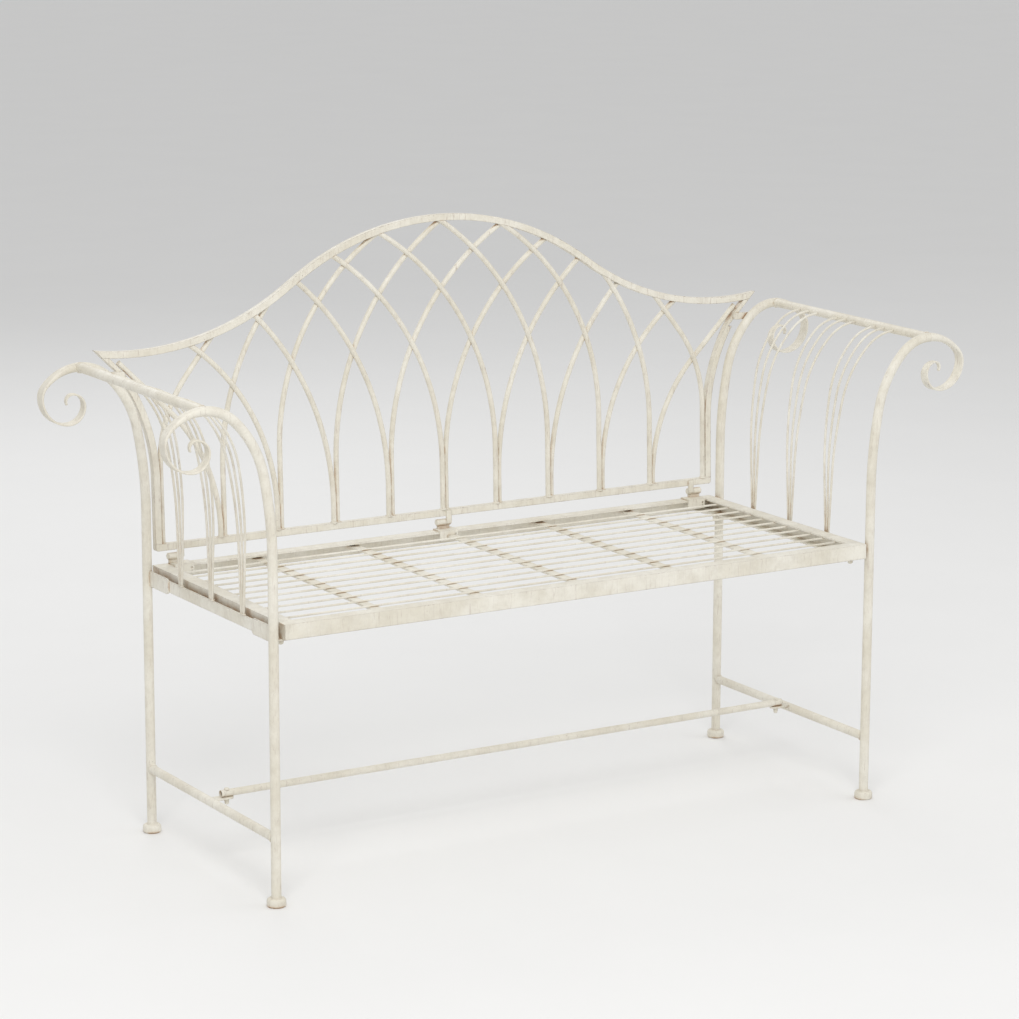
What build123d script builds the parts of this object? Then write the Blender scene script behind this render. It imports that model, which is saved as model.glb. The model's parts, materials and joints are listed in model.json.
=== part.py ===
from build123d import *
import math
import os

# Two-seat metal garden bench: arched lattice back, scrolled arms, wire seat.
# Millimetres. X runs along the seat, -Y is the front, +Z is up, and the feet stand on Z = 0.

# ---- end frames ----
POST_X = 575.0             # post axes, each side of the middle
POST_Y = 227.0             # post axes, front and rear
TUBE = 16.0                # post tube
ARM_TUBE = 15.4
BORE = 13.6
POST_BENDS = [(710.0, 11.2), (172.0, 34.2), (76.0, 44.6)]   # radius and turn of the outward sweep
SWEEP_START = 555.0        # height where the post leaves the vertical
SCROLL_BENDS = [           # radius, turn, then width and thickness of the flattened tube at the bend's end
    (82.0, 48.0, 21.0, 5.0),
    (29.0, 42.0, 22.0, 3.4),
    (46.0, 90.0, 22.0, 3.2),
    (29.0, 90.0, 18.0, 3.2),
    (20.0, 90.0, 12.0, 3.0),
    (11.0, 120.0, 6.0, 3.0),
]
CAP_D = 31.0               # foot cap
CAP_H = 14.0
CAP_FLOOR = 4.0
STRETCHER_D = 15.0
STRETCHER_Z = 111.0

# ---- ledge angles that carry the seat ----
LEDGE_FACE_X = 571.0       # outer face of the upright flange
LEDGE_TOP = 448.0
LEDGE_FLANGE = 28.0
SHEET = 3.0                # thickness of the angles and plates
LUG_INNER_Y = 151.0         # lug plates run from here to the posts
LUG_LOW = 426.0
LUG_HIGH = 452.0

# ---- fans of thin rods under the arms ----
FAN_ROD = 4.0
FAN_Y = 111.0              # centres of the front and rear fans; the middle one is at 0
FAN_PITCH = 4.2            # spacing of the three rods where they meet
FAN_SPREAD = 3.55          # degrees between neighbouring rods of a fan

# ---- seat ----
SEAT_TOP = 457.0
SEAT_X = 560.0             # outer faces of the side rails
SEAT_Y = 238.0             # outer faces of the front and rear rails
ANGLE = 25.0               # leg of the rail angles
STRAP_WIDTH = 18.0
STRAP_PITCH = 186.0
WIRE = 3.5
WIRE_PITCH = 36.0
WIRES = 11
BOLT_X = 551.0             # seat bolts
BOLT_Y = 205.0
CORNER_PLATE = 32.0

# ---- back: drawn flat, x along the bench and y up, then leaned ----
BACK_Y = 235.0             # middle plane of the back at the height of its bottom rail
RAIL_Z = 486.5
LEAN = 1.72                # degrees
BAR = 11.5                 # square tube of the back frame
BAR_BORE = 9.1
STILE_X = 551.0
STILE_START = 600.0
STILE_BENDS = [(320.0, 31.0), (90.0, 12.5)]
CREST_TOP = 1007.2
CREST_ARCH = 508.0         # outer radius of the arch
CREST_TURN = 35.6          # degrees from the top to where the arch turns into the flare
CREST_FLARE = 494.0        # outer radius of the flares
CREST_TIP = 9.5            # degrees the flare rises again before the tip
TIP_X = 655.0
STEM_PITCH = 107.6
ROD = 9.0                  # lattice rods
ROD_SIDE = 4.7             # each rod of a stem stands this far beside the stem's middle
ROD_LAYER = 2.5            # half the distance between the front and rear layers
HALF_ROD_X = 540.5
# height where each rising rod starts to bend and its radius, from the left half stem to the right stem
RISING_RODS = [(622, 235), (607, 440), (628, 418), (600, 477), (590, 455),
               (572, 448), (545, 481), (520, 480), (520, 368), (501, 300)]
STRAIGHT_AFTER = {0: 38.5, 9: 45.4}    # the outermost rods run straight after this turn
STRAIGHT_RUN = 125.0
TIE_X = (610.0, 640.0)     # from the stile to the post
TIE_Z = 783.0

# ---- connectors between back and seat ----
HINGE_X = (-521.0, -5.0, 521.0)
HINGE_TAB = 10.0           # width of the strap at the inner end of each barrel
HINGE_HOOK = 16.0          # how far the plates hang over the rail's inner edge
HINGE_LENGTH = 28.0
HINGE_D = 11.5
HINGE_Z = 470.0
HINGE_PLATE = 36.0

# ---- low brace ----
BRACE_D = 12.0
BRACE_BORE = 9.6
BRACE_X = 558.0
BRACE_Z = 122.6
BRACE_BOLT_X = 547.0
BRACKET_WIDTH = 18.0
BRACKET_TIP_X = 536.0

parts = {}


def upright(shape):
    """Stand a shape drawn in x and y up in the XZ plane; its own z then points to the front."""
    return Plane.XZ * shape


def run(start, heading, bends):
    """Tangent arcs from a point: heading in degrees, each bend a radius and a turn to the right."""
    edges = []
    point = Vector(*start)
    for radius, turn in bends:
        direction = (math.cos(math.radians(heading)), math.sin(math.radians(heading)))
        edges.append(JernArc(point, direction, radius, -turn))
        point = edges[-1] @ 1
        heading -= turn
    return edges, point, heading


def straight(point, heading, length):
    """Straight run from a point along a heading in degrees."""
    step = Vector(math.cos(math.radians(heading)), math.sin(math.radians(heading))) * length
    return Line(point, point + step)


def across(path, position):
    """Plane square to a flat path, with its x along the depth of the drawing."""
    return Plane(origin=path @ position, x_dir=(0, 0, 1), z_dir=path % position)


def bar_along(edges, profile):
    path = Wire(edges)
    return sweep(across(path, 0) * profile, path=path)


def both_sides(name, right):
    parts[name + "_right"] = right
    parts[name + "_left"] = mirror(right, about=Plane.YZ)


def box_between(low, high):
    size = [b - a for a, b in zip(low, high)]
    middle = [(a + b) / 2 for a, b in zip(low, high)]
    return Pos(*middle) * Box(*size)


def rod_between(start, end, diameter):
    axis = Vector(*end) - Vector(*start)
    return extrude(Plane(origin=start, z_dir=axis) * Circle(diameter / 2), axis.length)


def hexagon(across_flats, height):
    return extrude(RegularPolygon(across_flats / 2, 6, major_radius=False), height)


def group(shapes):
    return Compound([solid for shape in shapes for solid in shape.solids()])


# ---------------- end frames ----------------

def post_shape():
    """A leg that sweeps outward and ends in a flattened scroll, drawn at the right-hand side."""
    foot = Vector(POST_X, CAP_FLOOR)
    leg = Line(foot, (POST_X, SWEEP_START))
    bends, apex, heading = run((POST_X, SWEEP_START), 90, POST_BENDS)
    post = bar_along([leg] + bends, Circle(TUBE / 2))
    width = TUBE
    thickness = TUBE
    point = apex
    for radius, turn, next_width, next_thickness in SCROLL_BENDS:
        arc, next_point, next_heading = run((point.X, point.Y), heading, [(radius, turn)])
        path = Wire(arc)
        first = across(path, 0) * flat_tube(width, thickness)
        last = across(path, 1) * flat_tube(next_width, next_thickness)
        post += sweep([first, last], path=path, multisection=True)
        point, heading, width, thickness = next_point, next_heading, next_width, next_thickness
    bore = Rot(-90, 0, 0) * extrude(Circle(BORE / 2), SWEEP_START - CAP_FLOOR)
    post -= Pos(POST_X, CAP_FLOOR) * bore
    return upright(post), apex


def flat_tube(width, thickness):
    corner = min(width, thickness) / 2 - 0.4
    return RectangleRounded(width, thickness, corner)


def foot_cap():
    cap = Pos(0, 0, CAP_H / 2) * Cylinder(CAP_D / 2, CAP_H)
    cap = fillet(cap.edges().group_by(Axis.Z)[-1], 5)
    cap = fillet(cap.edges().group_by(Axis.Z)[0], 3)
    return cap - Pos(0, 0, CAP_FLOOR + CAP_H / 2) * Cylinder(TUBE / 2, CAP_H)


def end_tube(x, z, diameter, bore):
    """Tube from front post to rear post, coped to them."""
    tube = rod_between((x, -POST_Y, z), (x, POST_Y, z), diameter)
    tube = largest(tube - front_post - rear_post)
    return tube - rod_between((x, -POST_Y, z), (x, POST_Y, z), bore)


def ledge():
    floor = SEAT_TOP - ANGLE
    web = box_between((LEDGE_FACE_X - SHEET, -POST_Y, floor - SHEET), (LEDGE_FACE_X, POST_Y, LEDGE_TOP))
    flange_low = (LEDGE_FACE_X - LEDGE_FLANGE, -POST_Y, floor - SHEET)
    flange = box_between(flange_low, (LEDGE_FACE_X, POST_Y, floor))
    angle = largest(web + flange - front_post - rear_post)
    for y in (-BOLT_Y, BOLT_Y):
        angle -= Pos(BOLT_X, y, floor) * Cylinder(3.3, 4 * SHEET)
    return angle


def lug(side):
    """Plate on the outer face of the ledge, welded to it and to one post."""
    plate = box_between((LEDGE_FACE_X, LUG_INNER_Y, LUG_LOW), (LEDGE_FACE_X + SHEET, POST_Y, LUG_HIGH))
    inner_edges = plate.edges().filter_by(Axis.X).group_by(Axis.Y)[0]
    plate = largest(fillet(inner_edges, 6) - rear_post)
    return plate if side > 0 else mirror(plate, about=Plane.XZ)


def fan(y, rail):
    """Three thin rods that rise from the ledge side by side and spread below the arm."""
    inset = POST_X - (LEDGE_FACE_X - SHEET / 2)
    rods = []
    for place in (-1, 0, 1):
        foot = (POST_X - inset, LEDGE_TOP)
        leg = Line(foot, (foot[0], SWEEP_START))
        bends, _, _ = run((foot[0], SWEEP_START), 90, POST_BENDS)
        rod = upright(bar_along([leg] + bends, Circle(FAN_ROD / 2)))
        rod = Pos(0, 0, LEDGE_TOP) * Rot(-place * FAN_SPREAD, 0, 0) * Pos(0, 0, -LEDGE_TOP) * rod
        rod = Pos(0, y + place * FAN_PITCH, 0) * rod
        below = box_between((500, -300, LEDGE_TOP - 5), (600, 300, LEDGE_TOP))
        rods.append(largest(rod - rail - below))
    return group(rods)


def largest(shape):
    return max(shape.solids(), key=lambda solid: solid.volume)


post, arm_axis = post_shape()
front_post = Pos(0, -POST_Y, 0) * post
rear_post = Pos(0, POST_Y, 0) * post
both_sides("post_front", front_post)
both_sides("post_rear", rear_post)
both_sides("foot_cap_front", Pos(POST_X, -POST_Y, 0) * foot_cap())
both_sides("foot_cap_rear", Pos(POST_X, POST_Y, 0) * foot_cap())
arm_solid = rod_between((arm_axis.X, -POST_Y, arm_axis.Y), (arm_axis.X, POST_Y, arm_axis.Y), ARM_TUBE)
both_sides("arm_rail", end_tube(arm_axis.X, arm_axis.Y, ARM_TUBE, ARM_TUBE - 2.4))
both_sides("side_stretcher", end_tube(POST_X, STRETCHER_Z, STRETCHER_D, STRETCHER_D - 2.4))
both_sides("seat_ledge", ledge())
for place, y in (("front", -FAN_Y), ("middle", 0), ("rear", FAN_Y)):
    both_sides("arm_fan_" + place, fan(y, arm_solid))
lugs = [lug(1), lug(-1)]
parts["ledge_lugs"] = group(lugs + [mirror(shape, about=Plane.YZ) for shape in lugs])


# ---------------- seat ----------------

def long_rail(side):
    """Front or rear angle rail, with its flat leg on top and pointing inward."""
    outer = side * SEAT_Y
    web = box_between((-SEAT_X, min(outer, outer - side * SHEET), SEAT_TOP - ANGLE),
                      (SEAT_X, max(outer, outer - side * SHEET), SEAT_TOP))
    top = box_between((-SEAT_X, min(outer, outer - side * ANGLE), SEAT_TOP - SHEET),
                      (SEAT_X, max(outer, outer - side * ANGLE), SEAT_TOP))
    return web + top


def side_rail():
    web = box_between((SEAT_X - SHEET, -SEAT_Y + SHEET, SEAT_TOP - ANGLE),
                      (SEAT_X, SEAT_Y - SHEET, SEAT_TOP - SHEET))
    top = box_between((SEAT_X - ANGLE, -SEAT_Y + ANGLE, SEAT_TOP - SHEET),
                      (SEAT_X, SEAT_Y - ANGLE, SEAT_TOP))
    return web + top


def corner_plate(side_x, side_y):
    floor = SEAT_TOP - ANGLE
    inner_x = SEAT_X - SHEET
    inner_y = SEAT_Y - SHEET
    plate = box_between((inner_x - CORNER_PLATE, inner_y - CORNER_PLATE - 8, floor),
                        (inner_x, inner_y, floor + SHEET))
    plate = fillet(plate.edges().filter_by(Axis.Z).sort_by(Axis.X)[:2].sort_by(Axis.Y)[0], 12)
    plate -= Pos(BOLT_X, BOLT_Y, floor) * Cylinder(3.3, 4 * SHEET)
    if side_x < 0:
        plate = mirror(plate, about=Plane.YZ)
    if side_y < 0:
        plate = mirror(plate, about=Plane.XZ)
    return plate


wire_z = SEAT_TOP - SHEET - WIRE / 2
strap_top = wire_z - WIRE / 2
parts["seat_rail_front"] = long_rail(-1)
parts["seat_rail_rear"] = long_rail(1)
both_sides("seat_rail", side_rail())
for number in range(5):
    x = (number - 2) * STRAP_PITCH
    parts[f"seat_strap_{number + 1}"] = box_between(
        (x - STRAP_WIDTH / 2, -SEAT_Y + SHEET, strap_top - SHEET),
        (x + STRAP_WIDTH / 2, SEAT_Y - SHEET, strap_top))
wires = []
for number in range(WIRES):
    y = (number - (WIRES - 1) / 2) * WIRE_PITCH
    wires.append(rod_between((-SEAT_X + SHEET, y, wire_z), (SEAT_X - SHEET, y, wire_z), WIRE))
parts["seat_wires"] = group(wires)
corners = [(x, y) for x in (-1, 1) for y in (-1, 1)]
parts["seat_corner_plates"] = group([corner_plate(x, y) for x, y in corners])


def seat_bolt(side_x, side_y):
    """M6 bolt with its head on the corner plate, pointing down through the ledge."""
    under_head = SEAT_TOP - ANGLE + SHEET
    place = Pos(side_x * BOLT_X, side_y * BOLT_Y, under_head)
    shank = extrude(Circle(3), -(2 * SHEET + 9))
    return place * (hexagon(10, 4) + shank)


def seat_nut(side_x, side_y):
    """Domed nut that closes the end of the bolt below the ledge."""
    top = SEAT_TOP - ANGLE - SHEET
    nut = Pos(0, 0, -5) * hexagon(10, 5)
    dome = Pos(0, 0, -5) * Rot(180, 0, 0) * extrude(Circle(4.6), 6.5)
    dome = fillet(dome.edges().group_by(Axis.Z)[0], 4)
    nut = nut + dome - Pos(0, 0, -4.5) * Cylinder(3, 9)
    return Pos(side_x * BOLT_X, side_y * BOLT_Y, top) * nut


parts["seat_bolts"] = group([seat_bolt(x, y) for x, y in corners])
parts["seat_nuts"] = group([seat_nut(x, y) for x, y in corners])


# ---------------- back ----------------

# radii of the crest's centreline, and the centres of its arch and of its right flare
arch = CREST_ARCH - BAR / 2
flare = CREST_FLARE + BAR / 2
arch_z = CREST_TOP - CREST_ARCH
flare_x = (arch + flare) * math.sin(math.radians(CREST_TURN))
flare_z = arch_z + (arch + flare) * math.cos(math.radians(CREST_TURN))


def leaned(shape):
    """Put a shape of the flat back drawing in place."""
    return Pos(0, BACK_Y, RAIL_Z) * Rot(-LEAN, 0, 0) * Pos(0, 0, -RAIL_Z) * upright(shape)


def square_tube(edges, depth=BAR):
    return bar_along(edges, Rectangle(depth, BAR))


def crest_edges():
    """Centreline of the crest from its left tip: flare, arch, flare."""
    tip = math.radians(CREST_TIP)
    start = (-flare_x - flare * math.sin(tip), flare_z - flare * math.cos(tip))
    turn_up = (flare, -CREST_TURN - CREST_TIP)
    edges, _, _ = run(start, -CREST_TIP, [turn_up, (arch, 2 * CREST_TURN), turn_up])
    return edges


def crest_height(x):
    """Height of the crest's centreline."""
    if abs(x) < arch * math.sin(math.radians(CREST_TURN)):
        return arch_z + math.sqrt(arch ** 2 - x ** 2)
    return flare_z - math.sqrt(flare ** 2 - (abs(x) - flare_x) ** 2)


def tip_cut():
    """Everything beyond the slanting ends of the crest."""
    corner = Vector(TIP_X, crest_height(TIP_X) + BAR / 2)
    wedge = Polygon((0, 0), (60, 60), (60, -60), (-60, -60), align=None)
    right = Pos(corner.X, corner.Y) * extrude(wedge, 60, both=True)
    return right + mirror(right, about=Plane.YZ)


def stile_edges():
    base = Vector(STILE_X, RAIL_Z + BAR / 2)
    leg = Line(base, (STILE_X, STILE_START))
    bends, point, heading = run((STILE_X, STILE_START), 90, STILE_BENDS)
    return [leg] + bends + [straight(point, heading, 75)]


def rising_edges(number):
    """Centreline of a lattice rod that rises to the right, up to the crest's centreline."""
    start, radius = RISING_RODS[number]
    x = (number - 5) * STEM_PITCH + ROD_SIDE if number else -HALF_ROD_X
    leg = Line((x, RAIL_Z + BAR / 2), (x, start))
    if number in STRAIGHT_AFTER:
        bends, point, heading = run((x, start), 90, [(radius, STRAIGHT_AFTER[number])])
        return [leg] + bends + [straight(point, heading, STRAIGHT_RUN)]
    low, high = 5.0, 89.0
    for _ in range(40):
        turn = (low + high) / 2
        rise = radius * math.sin(math.radians(turn))
        reach = x + radius * (1 - math.cos(math.radians(turn)))
        if start + rise < crest_height(reach):
            low = turn
        else:
            high = turn
    bends, _, _ = run((x, start), 90, [(radius, low)])
    return [leg] + bends


crest = square_tube(crest_edges()) - tip_cut()
crest_block = square_tube(crest_edges(), 60) - tip_cut()
stile = square_tube(stile_edges()) - crest_block
stile = largest(stile - tip_cut())
stile_block = square_tube(stile_edges(), 60)
stile_blocks = stile_block + mirror(stile_block, about=Plane.YZ)
above = Pos(0, CREST_TOP) * Box(1400, 300, 60)
rail_end = STILE_X + BAR / 2
rail = Pos(0, RAIL_Z) * Box(2 * rail_end, BAR, BAR)
lower_corners = rail.edges().filter_by(Axis.Z).group_by(Axis.Y)[0]
rail = fillet(lower_corners, 4)
rail_bore = Pos(0, RAIL_Z) * Box(2 * rail_end - 6, BAR_BORE, BAR_BORE)
parts["back_crest"] = leaned(crest)
both_sides("back_stile", leaned(stile))
parts["back_bottom_rail"] = leaned(rail - rail_bore)

rising = []
for number in range(len(RISING_RODS)):
    rod = bar_along(rising_edges(number), Circle(ROD / 2))
    rising.append(largest(rod - crest_block - stile_blocks))
falling = [Pos(0, 0, ROD_LAYER) * Rot(0, 180, 0) * rod for rod in rising]
rising = [Pos(0, 0, -ROD_LAYER) * rod for rod in rising]
falling.reverse()
for number, rod in enumerate(rising):
    for front in falling:
        rod = rod - front
    rising[number] = rod
parts["lattice_half_left"] = leaned(rising[0])
parts["lattice_half_right"] = leaned(falling[-1])
for number in range(1, 10):
    stem = group([rising[number], falling[number - 1]])
    parts[f"lattice_stem_{number}"] = leaned(stem)


def tie():
    """Small block between the top of a stile and the rear post."""
    outline = SlotCenterToCenter(TIE_X[1] - TIE_X[0], BAR)
    block = Pos((TIE_X[0] + TIE_X[1]) / 2, TIE_Z, -(POST_Y + 6)) * extrude(outline, -12)
    block = upright(block) - rear_post
    front_face = leaned(Pos(TIE_X[0], TIE_Z, BAR / 2 - 30) * Box(120, 120, 60))
    block = block - front_face
    return largest(block)


def back_bolt():
    """Screw from behind, through the stile, into the tie."""
    shank = extrude(Circle(2.5), BAR + 3)
    head = extrude(Circle(4.5), -3)
    return leaned(Pos(TIE_X[0], TIE_Z, -BAR / 2) * (shank + head))


bolt_right = back_bolt()
bolt_left = mirror(bolt_right, about=Plane.YZ)
parts["back_bolts"] = group([bolt_right, bolt_left])
tie_right = tie() - bolt_right
parts["back_ties"] = group([tie_right, mirror(tie_right, about=Plane.YZ)])
parts["back_stile_right"] = parts["back_stile_right"] - bolt_right
parts["back_stile_left"] = parts["back_stile_left"] - bolt_left


# ---------------- connectors between back and seat ----------------

def hinge_barrel(x):
    start = (x - HINGE_LENGTH / 2, BACK_Y - 3, HINGE_Z)
    end = (x + HINGE_LENGTH / 2, BACK_Y - 3, HINGE_Z)
    return chamfer(rod_between(start, end, HINGE_D).edges(), 1)


def hinge_tab(x, barrel):
    """Strap welded to the front of the back's bottom rail, down to the barrel."""
    inward = math.copysign((HINGE_LENGTH - HINGE_TAB) / 2, -x)
    strap = Box(HINGE_TAB, RAIL_Z - HINGE_Z + 6, SHEET)
    strap = Pos(x + inward, (HINGE_Z + RAIL_Z) / 2 + 1, (BAR + SHEET) / 2) * strap
    return leaned(strap) - barrel


def hinge_plate(x, barrel):
    """Bent plate hooked over the seat's rear rail, with an upright rib that carries the barrel."""
    inner = SEAT_Y - ANGLE
    middle = math.copysign(min(abs(x), SEAT_X - ANGLE - HINGE_PLATE / 2 - 3), x)
    low_x = middle - HINGE_PLATE / 2
    high_x = middle + HINGE_PLATE / 2
    top = box_between((low_x, inner - 2.5, SEAT_TOP), (high_x, SEAT_Y - 2, SEAT_TOP + 2.5))
    hook = box_between((low_x, inner - 2.5, SEAT_TOP - HINGE_HOOK), (high_x, inner, SEAT_TOP + 2.5))
    rib = box_between((x - HINGE_LENGTH / 2 + 2, BACK_Y - 4.5, SEAT_TOP),
                      (x + HINGE_LENGTH / 2 - 2, BACK_Y - 1.5, HINGE_Z))
    plate = top + hook + rib - barrel
    for z in (SEAT_TOP - 5, SEAT_TOP - 11):
        plate -= rod_between((high_x - 5, inner - 6, z), (high_x - 5, inner + 1, z), 3.2)
    return plate - parts["seat_strap_3"]


barrels = [hinge_barrel(x) for x in HINGE_X]
parts["hinge_barrels"] = group(barrels)
parts["hinge_tabs"] = group([hinge_tab(x, barrel) for x, barrel in zip(HINGE_X, barrels)])
parts["hinge_plates"] = group([hinge_plate(x, barrel) for x, barrel in zip(HINGE_X, barrels)])


# ---------------- low brace ----------------

bracket_top = BRACE_Z - BRACE_D / 2


def bracket():
    tab = box_between((BRACKET_TIP_X, -BRACKET_WIDTH / 2, bracket_top - SHEET),
                      (POST_X, BRACKET_WIDTH / 2, bracket_top))
    tab = fillet(tab.edges().filter_by(Axis.Z).group_by(Axis.X)[0], 8)
    tab -= rod_between((POST_X, -POST_Y, STRETCHER_Z), (POST_X, POST_Y, STRETCHER_Z), STRETCHER_D)
    return largest(tab) - Pos(BRACE_BOLT_X, 0, bracket_top) * Cylinder(2.6, 20)


def brace_bolt():
    top = BRACE_Z + BRACE_D / 2
    shank = Pos(BRACE_BOLT_X, 0, top + 1) * extrude(Circle(2.5), -(BRACE_D + SHEET + 8.5))
    head = Pos(BRACE_BOLT_X, 0, top - 1) * extrude(Circle(4.5), 3.5)
    head = fillet(head.edges().group_by(Axis.Z)[-1], 2)
    brace_tube = rod_between((BRACE_X - 60, 0, BRACE_Z), (BRACE_X, 0, BRACE_Z), BRACE_D)
    return shank + (head - brace_tube)


def brace_nut():
    nut = Pos(0, 0, -4.5) * hexagon(8, 4.5)
    dome = Pos(0, 0, -4.5) * extrude(Circle(3.7), -6)
    dome = fillet(dome.edges().group_by(Axis.Z)[0], 3)
    return Pos(BRACE_BOLT_X, 0, bracket_top - SHEET) * (nut + dome - Pos(0, 0, -4) * Cylinder(2.5, 8))


brace = rod_between((-BRACE_X, 0, BRACE_Z), (BRACE_X, 0, BRACE_Z), BRACE_D)
brace -= rod_between((-BRACE_X, 0, BRACE_Z), (BRACE_X, 0, BRACE_Z), BRACE_BORE)
for x in (-BRACE_BOLT_X, BRACE_BOLT_X):
    brace -= Pos(x, 0, BRACE_Z) * Cylinder(2.6, 2 * BRACE_D)
parts["brace_rod"] = brace
both_sides("brace_bracket", bracket())
parts["brace_bolts"] = group([brace_bolt(), mirror(brace_bolt(), about=Plane.YZ)])
parts["brace_nuts"] = group([brace_nut(), mirror(brace_nut(), about=Plane.YZ)])

# the origin stands below the middle of the whole bench
extent = group(parts.values()).bounding_box()
centred = Pos(0, -(extent.min.Y + extent.max.Y) / 2, 0)
os.makedirs("parts", exist_ok=True)
for name, shape in parts.items():
    export_step(centred * shape, f"parts/{name}.step")
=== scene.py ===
import bpy
import bmesh
import json
import math
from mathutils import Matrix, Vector, noise


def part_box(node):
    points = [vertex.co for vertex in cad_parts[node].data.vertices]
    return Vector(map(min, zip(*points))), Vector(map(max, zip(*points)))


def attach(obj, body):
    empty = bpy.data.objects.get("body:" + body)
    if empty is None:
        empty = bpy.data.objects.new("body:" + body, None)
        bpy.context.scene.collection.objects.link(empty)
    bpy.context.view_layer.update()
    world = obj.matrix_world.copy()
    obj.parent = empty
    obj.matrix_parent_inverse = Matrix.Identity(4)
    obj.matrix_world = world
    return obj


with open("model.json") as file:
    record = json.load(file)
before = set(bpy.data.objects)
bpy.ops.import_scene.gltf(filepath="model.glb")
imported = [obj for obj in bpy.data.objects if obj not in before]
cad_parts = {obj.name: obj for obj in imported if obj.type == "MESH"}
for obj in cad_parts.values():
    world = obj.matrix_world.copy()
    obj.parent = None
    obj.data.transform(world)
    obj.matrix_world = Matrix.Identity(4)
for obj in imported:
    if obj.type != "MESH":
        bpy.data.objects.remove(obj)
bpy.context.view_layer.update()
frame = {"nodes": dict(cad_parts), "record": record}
nodes = frame["nodes"]

# ---- colours, linear ----
CREAM = (0.73, 0.69, 0.585, 1)
CREAM_LIGHT = (0.83, 0.805, 0.725, 1)
GREIGE = (0.52, 0.475, 0.385, 1)
MAUVE_BROWN = (0.36, 0.275, 0.23, 1)
GOLDEN = (0.42, 0.225, 0.075, 1)
BARE_RUST = (0.13, 0.062, 0.032, 1)
FLOOR = (0.86, 0.86, 0.855, 1)

# ---- camera: place, yaw from +Y towards +X, pitch below the horizon, roll, in metres and degrees ----
CAMERA_PLACE = (-2.9811, -4.9121, 1.7718)
CAMERA_YAW = 31.203
CAMERA_PITCH = 12.162
CAMERA_ROLL = 0.184
CAMERA_LENS = 123.28

SENSOR = 36              # millimetres

# ---- stage: name, place, width, power and colour of each lamp, all aimed at the bench's middle ----
FLOOR_HALF = 60.0
BENCH_MIDDLE = (0, 0, 0.5)
SKY_STRENGTH = 0.66
LAMPS = [
    ("key", (-2.2, -3.4, 4.2), 2.6, 125, (1.0, 0.99, 0.975)),
    ("fill", (3.6, -2.0, 2.4), 3.0, 24, (1, 1, 1)),
    ("rim", (0.5, 3.5, 3.2), 2.5, 30, (1, 1, 1)),
]

# ---- weld beads, in metres ----
WELD = 0.0016            # radius of a bead's section
CAP_WELD = 0.0013
BEAD_LIFT = 0.0005       # a bead's middle above the foot of its rod
END_BAND = 0.004         # depth of the slice of a rod that counts as its end
FAN_BEAD = 0.0021        # ring radius round a fan rod
STEM_BEAD = 0.0047       # round a lattice rod
CAP_BEAD = 0.0082        # round a leg, on its foot cap
STRETCHER_BEAD = 0.0076
ARM_BEAD = 0.0078
TUBE_INSET = 0.0045      # from the end of a coped tube to its bead
BEAD_STEPS = 20          # round the ring
SECTION_STEPS = 8        # round the bead's section
LUMPINESS = 0.45
LUMP_SCALE = 320
SAME_POINT = 0.00001     # corners nearer than this are one
FEWEST_POINTS = 12       # a loose part with fewer points is no rod
SHARP_EDGE = math.radians(35)
UP = Vector((0, 0, 1))
ALONG_Y = Vector((0, 1, 0))


# ---------------- materials ----------------

class Nodes:
    """Short way to add and link shader nodes."""

    def __init__(self, material):
        material.use_nodes = True
        self.tree = material.node_tree
        self.tree.nodes.clear()

    def add(self, kind, **settings):
        node = self.tree.nodes.new(kind)
        for name, value in settings.items():
            setattr(node, name, value)
        return node

    def link(self, source, target):
        self.tree.links.new(source, target)

    def noise(self, vector, scale, detail=4.0, roughness=0.6, distortion=0.0):
        node = self.add("ShaderNodeTexNoise")
        node.inputs["Scale"].default_value = scale
        node.inputs["Detail"].default_value = detail
        node.inputs["Roughness"].default_value = roughness
        node.inputs["Distortion"].default_value = distortion
        self.link(vector, node.inputs["Vector"])
        return node.outputs["Fac"]

    def ramp(self, value, low, high, low_out=0.0, high_out=1.0):
        node = self.add("ShaderNodeMapRange", clamp=True, interpolation_type="SMOOTHSTEP")
        self.link(value, node.inputs["Value"])
        node.inputs["From Min"].default_value = low
        node.inputs["From Max"].default_value = high
        node.inputs["To Min"].default_value = low_out
        node.inputs["To Max"].default_value = high_out
        return node.outputs["Result"]

    def maths(self, operation, first, second):
        node = self.add("ShaderNodeMath", operation=operation, use_clamp=True)
        for socket, value in zip(node.inputs, (first, second)):
            if isinstance(value, (int, float)):
                socket.default_value = value
            else:
                self.link(value, socket)
        return node.outputs["Value"]

    def mix(self, factor, first, second):
        node = self.add("ShaderNodeMix", data_type="RGBA")
        for socket, value in zip((node.inputs[0], node.inputs[6], node.inputs[7]), (factor, first, second)):
            if isinstance(value, (tuple, int, float)):
                socket.default_value = value
            else:
                self.link(value, socket)
        return node.outputs[2]

    def stretched(self, vector, scale):
        node = self.add("ShaderNodeMapping")
        node.inputs["Scale"].default_value = scale
        self.link(vector, node.inputs["Vector"])
        return node.outputs["Vector"]


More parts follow.
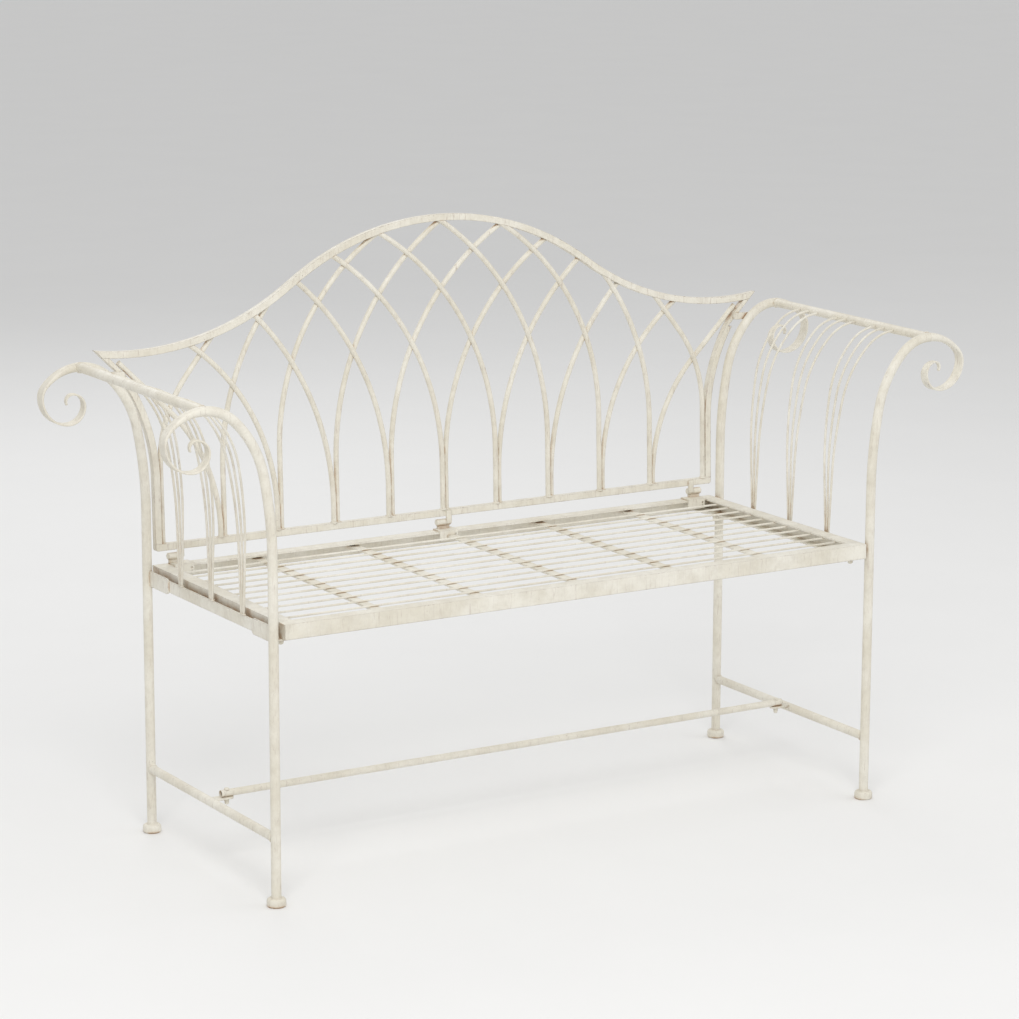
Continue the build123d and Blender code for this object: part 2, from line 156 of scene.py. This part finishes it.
def worn_paint(name, wear=1.0, shade_and_stain=1.0, light=0.5, lump=1.0):
    """Cream paint over steel: patchy colour, chipped and darkened edges, golden painted shade in the corners
    and gaps, partly real stain.
    """
    material = bpy.data.materials.new(name)
    n = Nodes(material)
    place = n.add("ShaderNodeTexCoord").outputs["Object"]
    normal = n.add("ShaderNodeNewGeometry").outputs["Normal"]

    # soft patches of lighter and greyer paint
    patches = n.ramp(n.noise(place, 9, 5, 0.62), 0.32, 0.68)
    mottling = n.ramp(n.noise(place, 55, 4, 0.7), 0.35, 0.72)
    base = n.mix(n.maths("MULTIPLY", patches, light + 0.35), CREAM, CREAM_LIGHT)
    base = n.mix(n.maths("MULTIPLY", mottling, 0.30), base, GREIGE)

    # edges, found by comparing the surface with a rounded one
    rounded = n.add("ShaderNodeBevel", samples=6)
    rounded.inputs["Radius"].default_value = 0.0022
    compare = n.add("ShaderNodeVectorMath", operation="DOT_PRODUCT")
    n.link(rounded.outputs["Normal"], compare.inputs[0])
    n.link(normal, compare.inputs[1])
    edge = n.ramp(compare.outputs["Value"], 0.998, 0.93)
    breakup = n.ramp(n.noise(place, 130, 5, 0.75, 0.6), 0.46, 0.66)
    patchy = n.ramp(n.noise(place, 14, 3, 0.6), 0.40, 0.62)
    edge_wear = n.maths("MULTIPLY", n.maths("MULTIPLY", edge, breakup), n.maths("MULTIPLY", patchy, 0.9 * wear))
    base = n.mix(edge_wear, base, MAUVE_BROWN)

    # thin streaks along the bars and small chips
    streaks = n.noise(n.stretched(place, (30, 30, 3)), 9, 6, 0.72, 0.8)
    streaks = n.maths("MULTIPLY", n.ramp(streaks, 0.52, 0.74), 0.50 * wear)
    base = n.mix(streaks, base, MAUVE_BROWN)
    chips = n.ramp(n.noise(place, 260, 3, 0.8, 0.3), 0.69, 0.74)
    chips = n.maths("MULTIPLY", chips, n.maths("MULTIPLY", patchy, 0.9 * wear))
    base = n.mix(chips, base, BARE_RUST)

    # golden-brown painted shade gathers in corners and gaps between parts where occlusion is strong, partly
    # real stain
    corner = n.add("ShaderNodeAmbientOcclusion", samples=8)
    corner.inputs["Distance"].default_value = 0.016
    crevice = n.ramp(corner.outputs["AO"], 0.78, 0.30)
    spread = n.ramp(n.noise(place, 38, 4, 0.65), 0.36, 0.60)
    # strength of the golden painted shade in crevices, partly real stain
    golden_shade_and_stain = n.maths("MULTIPLY", n.maths("MULTIPLY", crevice, spread), 0.85 * shade_and_stain)
    base = n.mix(golden_shade_and_stain, base, GOLDEN)

    shader = n.add("ShaderNodeBsdfPrincipled")
    n.link(base, shader.inputs["Base Color"])
    shader.inputs["Metallic"].default_value = 0.0
    rough = n.ramp(n.noise(place, 75, 4, 0.6), 0.3, 0.7, 0.42, 0.60)
    worn = n.maths("MAXIMUM", edge_wear, chips)
    n.link(n.maths("ADD", rough, n.maths("MULTIPLY", worn, 0.25)), shader.inputs["Roughness"])

    # brush lumps, chips sunk into the paint, then rounded edges
    bump = n.add("ShaderNodeBump")
    bump.inputs["Strength"].default_value = 0.32 * lump
    bump.inputs["Distance"].default_value = 0.0012
    height = n.maths("SUBTRACT", n.noise(place, 95, 5, 0.6), n.maths("MULTIPLY", worn, 0.35))
    n.link(height, bump.inputs["Height"])
    n.link(rounded.outputs["Normal"], bump.inputs["Normal"])
    n.link(bump.outputs["Normal"], shader.inputs["Normal"])
    n.link(shader.outputs["BSDF"], n.add("ShaderNodeOutputMaterial").inputs["Surface"])
    return material


def floor_material():
    material = bpy.data.materials.new("pale_floor")
    n = Nodes(material)
    place = n.add("ShaderNodeTexCoord").outputs["Object"]
    shader = n.add("ShaderNodeBsdfPrincipled")
    tone = n.mix(n.noise(place, 3, 3), FLOOR, tuple(c * 0.97 for c in FLOOR[:3]) + (1,))
    n.link(tone, shader.inputs["Base Color"])
    shader.inputs["Roughness"].default_value = 0.85
    n.link(shader.outputs["BSDF"], n.add("ShaderNodeOutputMaterial").inputs["Surface"])
    return material


# per finish: wear, then strength of the golden painted shade in corners (partly real stain), then share of
# lighter patches, then lumpiness
PAINTS = {
    "frame_paint": worn_paint("frame_paint_worn", 1.0, 1.0, 0.5),
    "seat_paint": worn_paint("seat_paint_worn", 0.8, 0.8, 0.65, 0.8),
    "back_paint": worn_paint("back_paint_worn", 1.15, 1.0, 0.45),
    "connectors": worn_paint("connector_paint_worn", 1.1, 0.8, 0.4),
    "fasteners": worn_paint("fastener_paint_worn", 1.2, 1.0, 0.3),
}
SLOT_OF = {row["node"]: row["material_slot"] for row in frame["record"]["subparts"]}


# ---------------- CAD nodes ----------------

def smooth_group():
    """Node group that joins split corners, shades faces smooth and keeps sharp edges."""
    group = bpy.data.node_groups.new("smooth_by_angle", "GeometryNodeTree")
    group.interface.new_socket("Geometry", in_out="INPUT", socket_type="NodeSocketGeometry")
    group.interface.new_socket("Geometry", in_out="OUTPUT", socket_type="NodeSocketGeometry")
    add = group.nodes.new
    start, end = add("NodeGroupInput"), add("NodeGroupOutput")
    merge = add("GeometryNodeMergeByDistance")
    merge.inputs["Distance"].default_value = SAME_POINT
    faces = add("GeometryNodeSetShadeSmooth")
    edges = add("GeometryNodeSetShadeSmooth")
    edges.domain = "EDGE"
    angle = add("GeometryNodeInputMeshEdgeAngle")
    flat = add("FunctionNodeCompare")
    flat.operation = "LESS_THAN"
    flat.inputs[1].default_value = SHARP_EDGE
    link = group.links.new
    link(start.outputs[0], merge.inputs["Geometry"])
    link(merge.outputs[0], faces.inputs["Geometry"])
    link(faces.outputs[0], edges.inputs["Geometry"])
    link(angle.outputs["Unsigned Angle"], flat.inputs[0])
    link(flat.outputs[0], edges.inputs["Shade Smooth"])
    link(edges.outputs[0], end.inputs[0])
    return group


smoothing = smooth_group()
for name, node in nodes.items():
    node.data.materials.clear()
    node.data.materials.append(PAINTS[SLOT_OF[name]])
    modifier = node.modifiers.new("smooth_by_angle", "NODES")
    modifier.node_group = smoothing


# ---------------- weld beads ----------------

def loose_parts(mesh):
    """Vertex positions of each separate solid of a mesh."""
    work = bmesh.new()
    work.from_mesh(mesh)
    bmesh.ops.remove_doubles(work, verts=work.verts, dist=SAME_POINT)
    work.verts.ensure_lookup_table()
    seen = set()
    found = []
    for vertex in work.verts:
        if vertex.index in seen:
            continue
        seen.add(vertex.index)
        stack = [vertex]
        points = []
        while stack:
            current = stack.pop()
            points.append(current.co.copy())
            for edge in current.link_edges:
                other = edge.other_vert(current)
                if other.index not in seen:
                    seen.add(other.index)
                    stack.append(other)
        found.append(points)
    work.free()
    return found


def middle(points):
    low = Vector([min(p[i] for p in points) for i in range(3)])
    high = Vector([max(p[i] for p in points) for i in range(3)])
    return (low + high) / 2


def add_bead(work, place, axis, radius, thickness):
    """Lumpy ring of weld metal round a rod: a torus whose section swells and shrinks."""
    turn = axis.normalized().to_track_quat("Z", "Y")
    rings = []
    for i in range(BEAD_STEPS):
        a = 2 * math.pi * i / BEAD_STEPS
        out = Vector((math.cos(a), math.sin(a), 0))
        swell = thickness * (1 + LUMPINESS * noise.noise((place + out * radius) * LUMP_SCALE))
        ring = []
        for j in range(SECTION_STEPS):
            b = 2 * math.pi * j / SECTION_STEPS
            local = out * (radius + swell * math.cos(b)) + Vector((0, 0, swell * 0.9 * math.sin(b)))
            ring.append(work.verts.new(place + turn @ local))
        rings.append(ring)
    for i in range(BEAD_STEPS):
        for j in range(SECTION_STEPS):
            ring, following = rings[i], rings[(i + 1) % BEAD_STEPS]
            above = (j + 1) % SECTION_STEPS
            corners = (ring[j], following[j], following[above], ring[above])
            work.faces.new(corners).smooth = True


def piece(name, work, material_slot):
    """Finish a bmesh as a piece of the bench."""
    bmesh.ops.recalc_face_normals(work, faces=work.faces)
    mesh = bpy.data.meshes.new(name)
    work.to_mesh(mesh)
    work.free()
    obj = bpy.data.objects.new(name, mesh)
    bpy.context.scene.collection.objects.link(obj)
    mesh.materials.append(PAINTS[material_slot])
    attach(obj, "root")


def rod_foot(points):
    """Middle of a rod's low end."""
    low = min(p.z for p in points)
    end = middle([p for p in points if p.z < low + END_BAND])
    return Vector((end.x, end.y, low))


def foot_bead(work, points, radius):
    add_bead(work, rod_foot(points) + BEAD_LIFT * UP, UP, radius, WELD)


def fan_beads(side):
    work = bmesh.new()
    for place in ("front", "middle", "rear"):
        for rod in loose_parts(nodes[f"arm_fan_{place}_{side}"].data):
            foot_bead(work, rod, FAN_BEAD)
    piece(f"weld_beads_fan_feet_{side}", work, "frame_paint")


def stem_beads():
    work = bmesh.new()
    for number in range(1, 10):
        for rod in loose_parts(nodes[f"lattice_stem_{number}"].data):
            if len(rod) >= FEWEST_POINTS:
                foot_bead(work, rod, STEM_BEAD)
    for side in ("left", "right"):
        half_stem = max(loose_parts(nodes[f"lattice_half_{side}"].data), key=len)
        foot_bead(work, half_stem, STEM_BEAD)
    piece("weld_beads_stem_feet", work, "back_paint")


def cap_beads():
    """Ring of weld and caked paint where each leg enters its foot cap."""
    work = bmesh.new()
    for end in ("front", "rear"):
        for side in ("left", "right"):
            low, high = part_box(f"foot_cap_{end}_{side}")
            place = Vector(((low.x + high.x) / 2, (low.y + high.y) / 2, high.z))
            add_bead(work, place, UP, CAP_BEAD, CAP_WELD)
    piece("weld_beads_foot_caps", work, "frame_paint")


def stretcher_beads():
    """Rings where the low stretchers and the arm rails meet the legs."""
    work = bmesh.new()
    for side in ("left", "right"):
        for name, radius in ((f"side_stretcher_{side}", STRETCHER_BEAD), (f"arm_rail_{side}", ARM_BEAD)):
            low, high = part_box(name)
            x, z = (low.x + high.x) / 2, (low.z + high.z) / 2
            for y in (low.y + TUBE_INSET, high.y - TUBE_INSET):
                add_bead(work, Vector((x, y, z)), ALONG_Y, radius, WELD)
    piece("weld_beads_end_frames", work, "frame_paint")


for side in ("left", "right"):
    fan_beads(side)
stem_beads()
cap_beads()
stretcher_beads()


# ---------------- stage ----------------

def stage_floor():
    work = bmesh.new()
    bmesh.ops.create_grid(work, x_segments=1, y_segments=1, size=FLOOR_HALF)
    mesh = bpy.data.meshes.new("floor")
    work.to_mesh(mesh)
    work.free()
    obj = bpy.data.objects.new("floor", mesh)
    bpy.context.scene.collection.objects.link(obj)
    mesh.materials.append(floor_material())


def lamp(name, place, size, power, colour):
    light = bpy.data.lights.new(name, "AREA")
    light.shape = "SQUARE"
    light.size = size
    light.energy = power
    light.color = colour
    obj = bpy.data.objects.new(name, light)
    obj.location = place
    obj.rotation_euler = (Vector(BENCH_MIDDLE) - Vector(place)).to_track_quat("-Z", "Y").to_euler()
    bpy.context.scene.collection.objects.link(obj)


def studio():
    stage_floor()
    world = bpy.data.worlds.new("studio")
    world.use_nodes = True
    background = world.node_tree.nodes["Background"]
    background.inputs["Color"].default_value = (1.0, 1.0, 1.0, 1)
    background.inputs["Strength"].default_value = SKY_STRENGTH
    bpy.context.scene.world = world
    for settings in LAMPS:
        lamp(*settings)
    bpy.context.scene.view_settings.view_transform = "Standard"


def camera():
    data = bpy.data.cameras.new("camera")
    data.lens = CAMERA_LENS
    data.sensor_width = SENSOR
    data.clip_end = 3 * FLOOR_HALF
    obj = bpy.data.objects.new("camera", data)
    yaw, pitch = math.radians(CAMERA_YAW), math.radians(CAMERA_PITCH)
    level = math.cos(pitch)
    forward = Vector((math.sin(yaw) * level, math.cos(yaw) * level, -math.sin(pitch)))
    right = Vector((math.cos(yaw), -math.sin(yaw), 0))
    up = right.cross(forward)
    roll = math.radians(CAMERA_ROLL)
    right, up = right * math.cos(roll) + up * math.sin(roll), up * math.cos(roll) - right * math.sin(roll)
    matrix = obj.matrix_world.copy()
    for row in range(3):
        matrix[row][0], matrix[row][1], matrix[row][2] = right[row], up[row], -forward[row]
        matrix[row][3] = CAMERA_PLACE[row]
    obj.matrix_world = matrix
    bpy.context.scene.collection.objects.link(obj)
    bpy.context.scene.camera = obj


studio()
camera()
